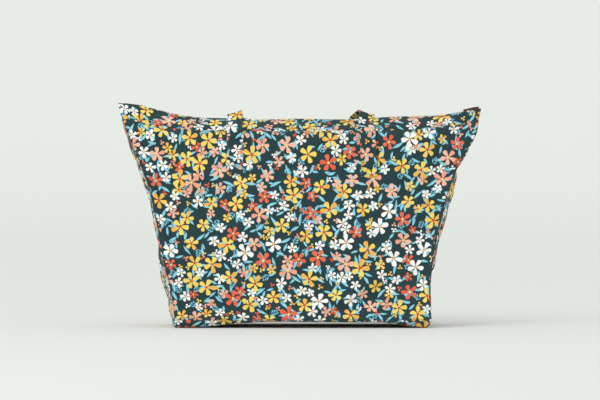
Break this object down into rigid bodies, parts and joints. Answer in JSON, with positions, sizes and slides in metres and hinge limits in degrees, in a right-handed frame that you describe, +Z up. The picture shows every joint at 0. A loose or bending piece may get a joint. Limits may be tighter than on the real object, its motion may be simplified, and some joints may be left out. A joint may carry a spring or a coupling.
{
  "type": "foldable tote bag",
  "caption": "Light zipped travel tote in printed cloth: trapezoid front and back, pointed wings, boxy base, shoulder handles and an inner zipped stow pocket.",
  "frame": {"origin": "middle of the base, on the surface that the bag stands on", "axes": "+X along the bag to the end where the zip closes, +Y from its front to its back, +Z up"},
  "size_m": [0.556, 0.182, 0.344],
  "materials": {
    "printed_cloth": "fine plain weave, printed with a small all-over flower pattern, soft matte",
    "strap_cloth": "the same printed cloth folded double and topstitched",
    "pocket_cloth": "the same printed cloth, seen from inside",
    "binding_tape": "grosgrain binding, matte",
    "zip_tape": "herringbone woven tape, matte",
    "zip_coil": "moulded nylon coil, satin",
    "zip_metal": "antique plated, satin, rubbed at the edges",
    "end_tab": "dark brown woven tab, matte",
    "label_cloth": "blank satin label"
  },
  "bodies": {
    "bag": {"base_panel": "printed_cloth", "front_panel": "printed_cloth", "back_panel": "printed_cloth", "left_gusset": "printed_cloth", "right_gusset": "printed_cloth", "front_top_band_left": "printed_cloth", "front_top_band_right": "printed_cloth", "back_top_band_left": "printed_cloth", "back_top_band_right": "printed_cloth", "zip_tape_ends_left": "zip_tape", "zip_tape_ends_right": "zip_tape", "zip_coil_ends_left": "zip_coil", "zip_coil_ends_right": "zip_coil", "zip_top_stops": "zip_metal", "zip_bottom_stop": "zip_metal", "zip_end_tab_left": "end_tab", "zip_end_tab_right": "end_tab", "front_strap_left": "strap_cloth", "front_strap_right": "strap_cloth", "back_strap_left": "strap_cloth", "back_strap_right": "strap_cloth", "front_base_binding": "binding_tape", "back_base_binding": "binding_tape", "left_base_binding": "binding_tape", "right_base_binding": "binding_tape", "front_left_seam_binding": "binding_tape", "front_right_seam_binding": "binding_tape", "back_left_seam_binding": "binding_tape", "back_right_seam_binding": "binding_tape", "stow_pocket": "pocket_cloth", "pocket_header": "pocket_cloth", "pocket_tape_lower": "zip_tape", "pocket_tape_upper": "zip_tape", "pocket_coil_lower": "zip_coil", "pocket_coil_upper": "zip_coil", "care_label": "label_cloth"},
    "front_flap": {"front_top_band": "printed_cloth", "front_zip_tape": "zip_tape", "front_zip_coil": "zip_coil"},
    "back_flap": {"back_top_band": "printed_cloth", "back_zip_tape": "zip_tape", "back_zip_coil": "zip_coil"},
    "zip_slider": {"zip_slider": "zip_metal"},
    "zip_pull": {"zip_pull": "zip_metal"},
    "front_handle_root": {"front_handle_root_left": "strap_cloth", "front_handle_root_right": "strap_cloth"},
    "front_handle_neck": {"front_handle_neck_left": "strap_cloth", "front_handle_neck_right": "strap_cloth"},
    "front_handle": {"front_handle_loop": "strap_cloth"},
    "back_handle": {"back_handle_loop": "strap_cloth"},
    "pocket_slider": {"pocket_slider": "zip_metal"},
    "pocket_pull": {"pocket_pull": "zip_metal"}
  },
  "joints": [
    {"name": "zip_slide", "type": "slide", "parent": "bag", "child": "zip_slider", "axis": [-1, 0, 0], "range_m": [0, 0.424]},
    {"name": "zip_pull_swing", "type": "hinge", "parent": "zip_slider", "child": "zip_pull", "pos_m": [0.216, 0, 0.3221], "axis": [0, -1, 0], "range_deg": [0, 150]},
    {"name": "front_flap_open", "type": "hinge", "parent": "bag", "child": "front_flap", "pos_m": [0, -0.035, 0.301], "axis": [1, 0, 0], "range_deg": [0, 57]},
    {"name": "back_flap_open", "type": "hinge", "parent": "bag", "child": "back_flap", "pos_m": [0, 0.035, 0.301], "axis": [-1, 0, 0], "range_deg": [0, 57]},
    {"name": "front_handle_lift", "type": "hinge", "parent": "front_flap", "child": "front_handle_root", "pos_m": [0, -0.037, 0.303], "axis": [1, 0, 0], "range_deg": [0, 55]},
    {"name": "front_handle_neck_bend", "type": "hinge", "parent": "front_handle_root", "child": "front_handle_neck", "pos_m": [0, -0.004, 0.326], "axis": [1, 0, 0], "range_deg": [0, 60.3]},
    {"name": "front_handle_loop_bend", "type": "hinge", "parent": "front_handle_neck", "child": "front_handle", "pos_m": [0, 0.0413, 0.3045], "axis": [1, 0, 0], "range_deg": [0, 54.4]},
    {"name": "back_handle_swing", "type": "hinge", "parent": "bag", "child": "back_handle", "pos_m": [0, 0.0413, 0.3025], "axis": [1, 0, 0], "range_deg": [0, 170]},
    {"name": "pocket_zip_slide", "type": "slide", "parent": "bag", "child": "pocket_slider", "axis": [-1, 0, 0], "range_m": [0, 0.14]},
    {"name": "pocket_pull_swing", "type": "hinge", "parent": "pocket_slider", "child": "pocket_pull", "pos_m": [0.074, 0.0174, 0.2876], "axis": [0, 0, -1], "range_deg": [0, 150]}
  ],
  "couplings": [
    {"joint": "front_flap_open", "follows": "zip_slide", "rad_per_m": 2.346},
    {"joint": "back_flap_open", "follows": "zip_slide", "rad_per_m": 2.346},
    {"joint": "front_handle_neck_bend", "follows": "front_handle_lift", "ratio": 1.095},
    {"joint": "front_handle_loop_bend", "follows": "front_handle_lift", "ratio": 0.987}
  ]
}
